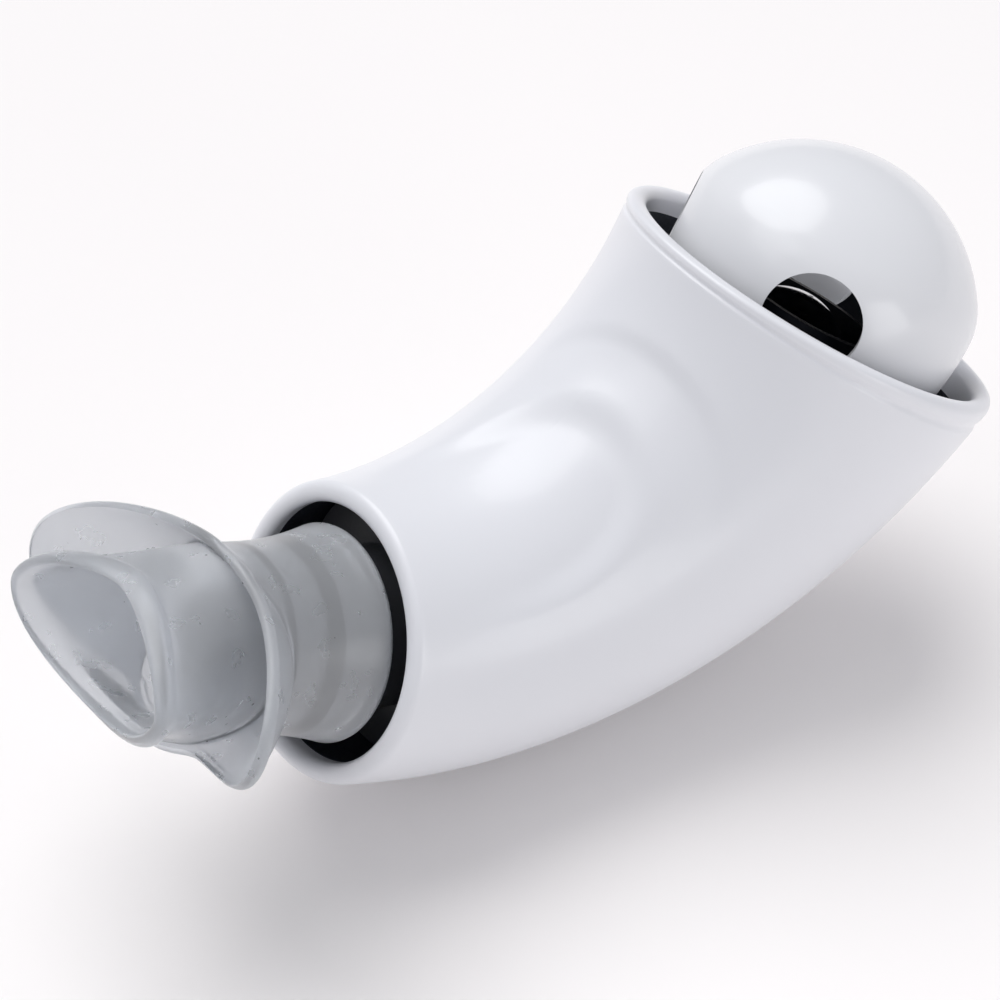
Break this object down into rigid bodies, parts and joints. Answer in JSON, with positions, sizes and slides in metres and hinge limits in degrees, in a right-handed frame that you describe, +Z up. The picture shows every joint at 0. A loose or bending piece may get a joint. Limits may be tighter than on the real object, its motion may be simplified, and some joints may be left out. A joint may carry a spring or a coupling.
{
  "type": "positive expiratory pressure device",
  "caption": "Handheld breathing trainer: bent flaring two-part casing, bite-flange mouthpiece, vented cap on a bayonet, loose ball in a cone.",
  "frame": {"origin": "centre of the bounding box at its bottom, on the surface the device lies on", "axes": "+Z up, +X from the mouthpiece toward the vented cap, the casing's joint plane is XZ, +Y across"},
  "size_m": [0.1398, 0.0583, 0.0721],
  "materials": {
    "casing": "satin moulded",
    "cap": "satin moulded",
    "mouthpiece": "translucent silicone",
    "connector": "satin moulded",
    "duct": "satin moulded",
    "valve": "satin moulded",
    "funnel": "satin moulded",
    "ball": "polished",
    "screw": "bright",
    "seal": "matt"
  },
  "bodies": {
    "casing": {"casing_left": "casing", "casing_right": "casing", "screw_plugs": "casing", "casing_screws": "screw", "inlet_connector": "connector", "connector_seal": "seal", "air_duct": "duct", "duct_grommets": "seal", "duct_seal": "seal", "valve_body": "valve", "lock_ring": "valve", "lock_screws": "screw", "funnel_seal": "seal", "funnel": "funnel", "cap_seal": "seal"},
    "mouth_ring": {"mouthpiece_seal": "seal"},
    "mouth": {"mouthpiece": "mouthpiece"},
    "cap": {"cap": "cap", "ball_stop": "seal"},
    "ball": {"ball": "ball"}
  },
  "joints": [
    {"name": "mouthpiece_pull", "type": "slide", "parent": "casing", "child": "mouth_ring", "axis": [-0.9011, 0, 0.4337], "range_m": [0, 0.016]},
    {"name": "mouthpiece_turn", "type": "hinge", "parent": "mouth_ring", "child": "mouth", "pos_m": [-0.03469, 0, 0.02965], "axis": [-0.9011, 0, 0.4337], "range_deg": [-180, 180]},
    {"name": "cap_turn", "type": "hinge", "parent": "casing", "child": "cap", "pos_m": [0.04662, 0, 0.05075], "axis": [0.5764, 0, 0.8171], "range_deg": [0, 40]},
    {"name": "ball_lift", "type": "slide", "parent": "casing", "child": "ball", "axis": [0.5764, 0, 0.8171], "range_m": [0, 0.006]}
  ]
}
